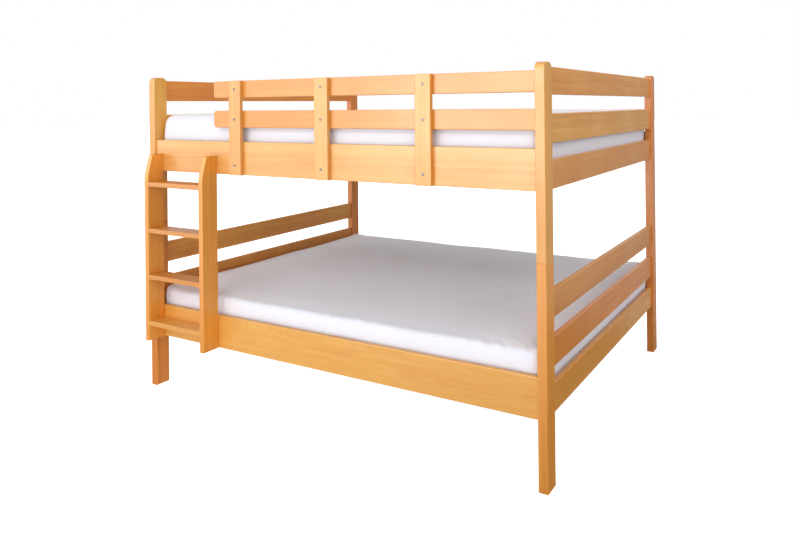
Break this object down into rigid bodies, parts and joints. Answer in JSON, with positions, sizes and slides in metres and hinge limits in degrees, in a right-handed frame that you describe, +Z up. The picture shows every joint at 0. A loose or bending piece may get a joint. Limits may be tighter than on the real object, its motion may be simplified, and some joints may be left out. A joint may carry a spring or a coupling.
{
  "type": "bunk bed",
  "caption": "Wooden bunk bed with two double berths, a fixed front ladder, board guards around the upper berth and a mattress in a white fitted sheet on each.",
  "frame": {"origin": "on the floor, under the middle of the bounding box of the whole bed with its ladder", "axes": "+X along the bed towards the foot end, +Z up; the ladder and the high guard are at the front, towards -Y"},
  "size_m": [2.096, 1.756, 1.527],
  "materials": {
    "honey_wood": "satin",
    "pale_wood": "matte",
    "white_cotton": "matte",
    "webbing": "matte",
    "bright_steel": "satin"
  },
  "bodies": {
    "root": {"lower_beam_brackets": "bright_steel", "lower_centre_beam": "pale_wood", "lower_cleat_back": "pale_wood", "lower_cleat_front": "pale_wood", "lower_left_end_board_bottom": "honey_wood", "lower_left_end_board_middle": "honey_wood", "lower_left_end_board_top": "honey_wood", "lower_post_back_left": "honey_wood", "lower_post_back_right": "honey_wood", "lower_post_front_left": "honey_wood", "lower_post_front_right": "honey_wood", "lower_rail_nuts": "bright_steel", "lower_rail_studs": "bright_steel", "lower_right_end_board_bottom": "honey_wood", "lower_right_end_board_middle": "honey_wood", "lower_right_end_board_top": "honey_wood", "lower_side_rail_back": "honey_wood", "lower_side_rail_front": "honey_wood", "lower_slat_tapes": "webbing", "lower_slats": "pale_wood", "lower_wood_screws": "bright_steel", "post_pins": "pale_wood"},
    "upper_bed": {"ladder_screws": "bright_steel", "ladder_step_1": "honey_wood", "ladder_step_2": "honey_wood", "ladder_step_3": "honey_wood", "ladder_step_4": "honey_wood", "ladder_stile_left": "honey_wood", "ladder_stile_right": "honey_wood", "upper_back_guard_board": "honey_wood", "upper_batten_bolts": "bright_steel", "upper_batten_cap_nuts": "bright_steel", "upper_beam_brackets": "bright_steel", "upper_centre_beam": "pale_wood", "upper_cleat_back": "pale_wood", "upper_cleat_front": "pale_wood", "upper_guard_batten_left": "honey_wood", "upper_guard_batten_middle": "honey_wood", "upper_guard_batten_right": "honey_wood", "upper_guard_board_middle": "honey_wood", "upper_guard_board_top": "honey_wood", "upper_left_end_board_bottom": "honey_wood", "upper_left_end_board_middle": "honey_wood", "upper_left_end_board_top": "honey_wood", "upper_post_back_left": "honey_wood", "upper_post_back_right": "honey_wood", "upper_post_front_left": "honey_wood", "upper_post_front_right": "honey_wood", "upper_rail_nuts": "bright_steel", "upper_rail_studs": "bright_steel", "upper_right_end_board_bottom": "honey_wood", "upper_right_end_board_middle": "honey_wood", "upper_right_end_board_top": "honey_wood", "upper_side_rail_back": "honey_wood", "upper_side_rail_front": "honey_wood", "upper_slat_tapes": "webbing", "upper_slats": "pale_wood", "upper_wood_screws": "bright_steel"},
    "lower_mattress": {"lower_mattress": "white_cotton"},
    "upper_mattress": {"upper_mattress": "white_cotton"}
  },
  "joints": [
    {"name": "upper_bed_lift", "type": "slide", "parent": "root", "child": "upper_bed", "axis": [0, 0, 1], "range_m": [0, 0.1]},
    {"name": "lower_mattress_lift", "type": "slide", "parent": "root", "child": "lower_mattress", "axis": [0, 0, 1], "range_m": [0, 0.12]},
    {"name": "upper_mattress_lift", "type": "slide", "parent": "upper_bed", "child": "upper_mattress", "axis": [0, 0, 1], "range_m": [0, 0.4]}
  ]
}
